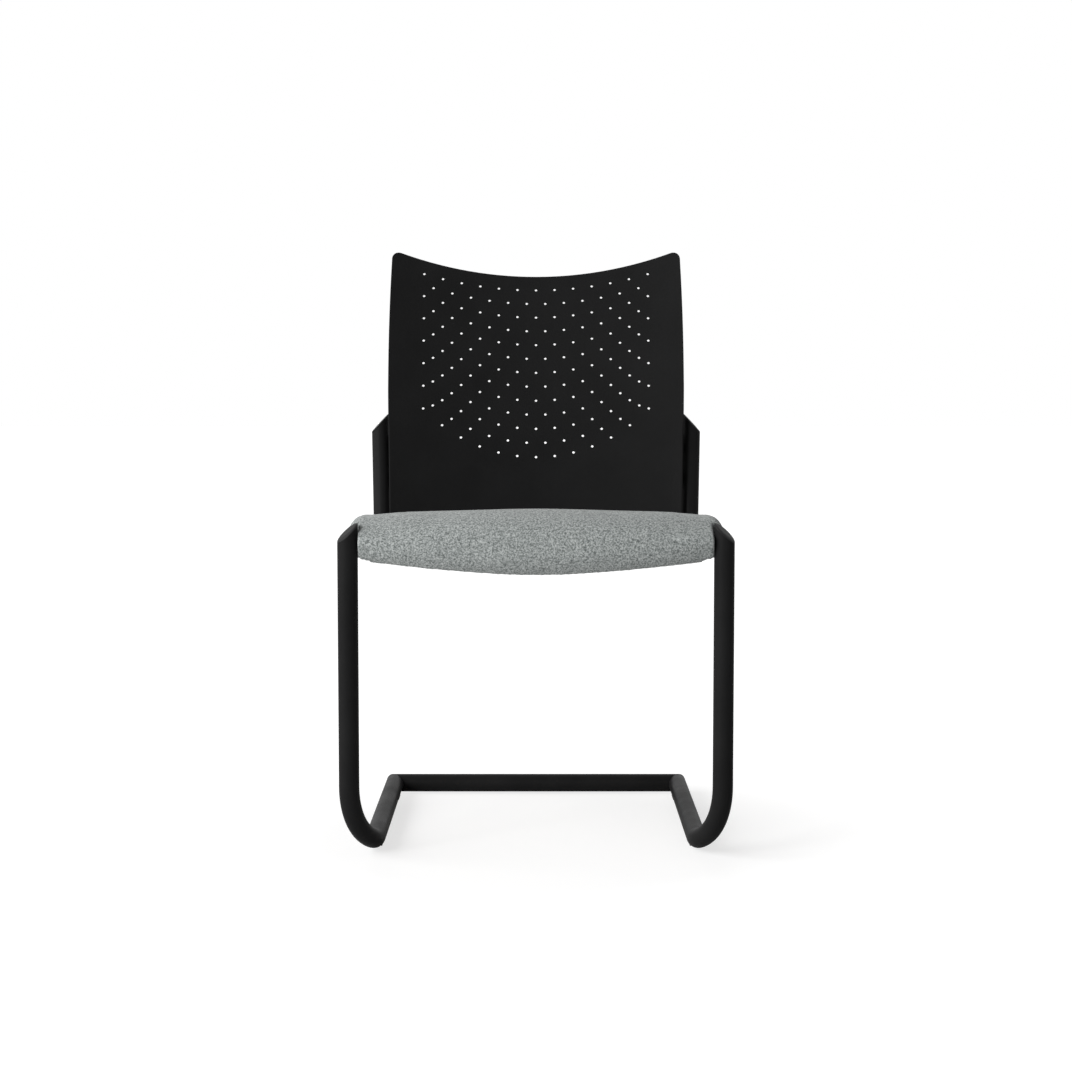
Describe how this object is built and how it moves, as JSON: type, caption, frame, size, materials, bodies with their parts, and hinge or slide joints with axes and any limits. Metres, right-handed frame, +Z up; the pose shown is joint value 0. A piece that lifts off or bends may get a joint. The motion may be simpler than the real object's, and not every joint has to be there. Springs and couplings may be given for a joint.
{
  "type": "cantilever chair",
  "caption": "Visitor chair on a bent tube cantilever frame, with a padded fabric seat and a curved perforated plastic back.",
  "frame": {"origin": "on the floor, below the middle of the chair's outer box", "axes": "+X across the chair to the right seen from its front, +Y from its front to its rear, +Z up from the floor"},
  "size_m": [0.54, 0.5636, 0.8634],
  "materials": {
    "frame_paint": "semi-matt black powder coat",
    "cap_plastic": "smooth black moulded plastic",
    "glide_plastic": "smooth black moulded plastic",
    "pan_plywood": "raw moulded plywood",
    "seat_fabric": "felted grey-green melange wool over foam",
    "back_plastic": "fine-grained black moulded plastic",
    "steel": "zinc-plated steel"
  },
  "bodies": {
    "root": {"left_leg_tube": "frame_paint", "right_leg_tube": "frame_paint", "rear_floor_bar": "frame_paint", "left_side_rail": "frame_paint", "right_side_rail": "frame_paint", "front_cross_tube": "frame_paint", "rear_cross_tube": "frame_paint", "seat_tab_front_left": "frame_paint", "seat_tab_front_right": "frame_paint", "seat_tab_rear_left": "frame_paint", "seat_tab_rear_right": "frame_paint", "left_back_bracket": "frame_paint", "right_back_bracket": "frame_paint", "left_leg_cap": "cap_plastic", "right_leg_cap": "cap_plastic", "left_upright_cap": "cap_plastic", "right_upright_cap": "cap_plastic", "left_front_glide": "glide_plastic", "right_front_glide": "glide_plastic", "left_rear_glide": "glide_plastic", "right_rear_glide": "glide_plastic", "seat_pan": "pan_plywood", "seat_cushion": "seat_fabric", "back_shell": "back_plastic", "seat_screws": "steel", "back_screws": "steel", "seat_tee_nuts": "steel"}
  },
  "joints": []
}
